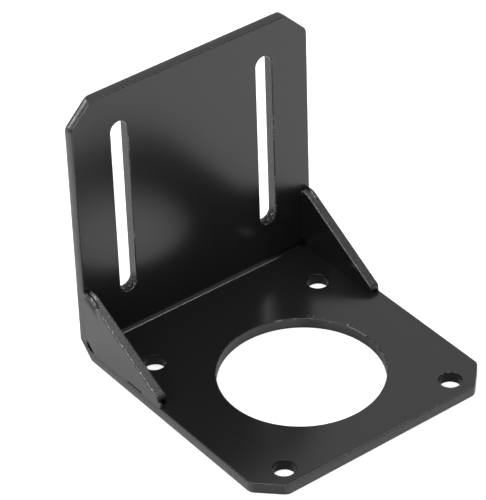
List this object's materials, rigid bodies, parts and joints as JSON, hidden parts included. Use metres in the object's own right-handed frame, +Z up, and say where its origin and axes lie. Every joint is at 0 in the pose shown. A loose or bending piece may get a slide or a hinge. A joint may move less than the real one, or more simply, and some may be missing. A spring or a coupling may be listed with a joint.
{
  "type": "motor mounting bracket",
  "caption": "Folded sheet L bracket for a flange-mounted motor: bored base plate with bolt holes, slotted upright and a welded gusset at each end of the fold.",
  "frame": {"origin": "axis of the large bore, on the underside of the base plate", "axes": "+Z up along the bore, +Y towards the upright plate, X along the fold"},
  "size_m": [0.0646, 0.0686, 0.0678],
  "materials": {
    "paint": "black semi-gloss paint over steel sheet"
  },
  "bodies": {
    "root": {"folded_plate": "paint", "gusset_left": "paint", "gusset_right": "paint", "weld_left": "paint", "weld_right": "paint"}
  },
  "joints": []
}
